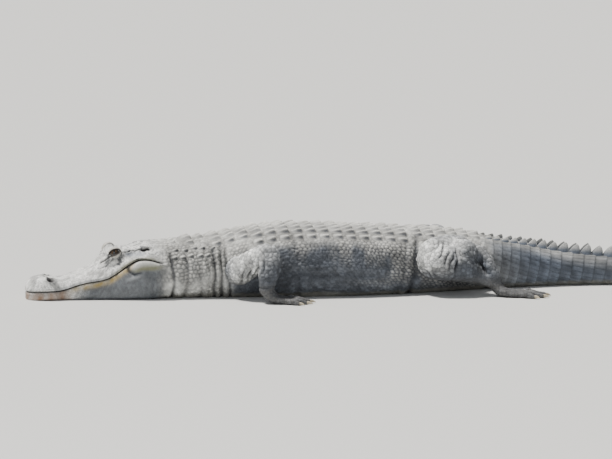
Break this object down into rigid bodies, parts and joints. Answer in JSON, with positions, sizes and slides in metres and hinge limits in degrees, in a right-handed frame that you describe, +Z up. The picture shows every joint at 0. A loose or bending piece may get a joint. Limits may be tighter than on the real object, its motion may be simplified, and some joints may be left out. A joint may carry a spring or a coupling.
{
  "type": "american alligator",
  "caption": "American alligator at rest on its belly, life size: broad flat snout, keeled scutes along the back, crested tail in a gentle curve, legs folded at its sides",
  "frame": {"origin": "on the floor under the middle of the trunk, at the flat of the belly", "axes": "+X runs from the snout to the tail, +Z is up, and the animal's left side faces -Y"},
  "size_m": [2.7828, 0.7226, 0.2197],
  "materials": {
    "head_skin": "dry grey hide tight over bone, finely pitted",
    "back_skin": "dry grey scutes of horn over bone with pale rims",
    "tail_skin": "blue-grey scales in rings",
    "leg_skin": "loose grey skin with round scales and folds",
    "claw": "worn horn",
    "eye": "wet, dark brown iris with an upright slit"
  },
  "bodies": {
    "root": {"head": "head_skin", "lower_jaw": "head_skin", "eye_left": "eye", "eye_right": "eye", "neck": "back_skin", "torso": "back_skin", "tail_base": "tail_skin", "tail_middle": "tail_skin", "tail_rear": "tail_skin", "tail_tip": "tail_skin", "foreleg_left": "leg_skin", "forefoot_left": "leg_skin", "foreclaw_left_1": "claw", "foreclaw_left_2": "claw", "foreclaw_left_3": "claw", "foreleg_right": "leg_skin", "forefoot_right": "leg_skin", "foreclaw_right_1": "claw", "foreclaw_right_2": "claw", "foreclaw_right_3": "claw", "hindleg_left": "leg_skin", "hindfoot_left": "leg_skin", "hindclaw_left_1": "claw", "hindclaw_left_2": "claw", "hindclaw_left_3": "claw", "hindleg_right": "leg_skin", "hindfoot_right": "leg_skin", "hindclaw_right_1": "claw", "hindclaw_right_2": "claw", "hindclaw_right_3": "claw"}
  },
  "joints": []
}
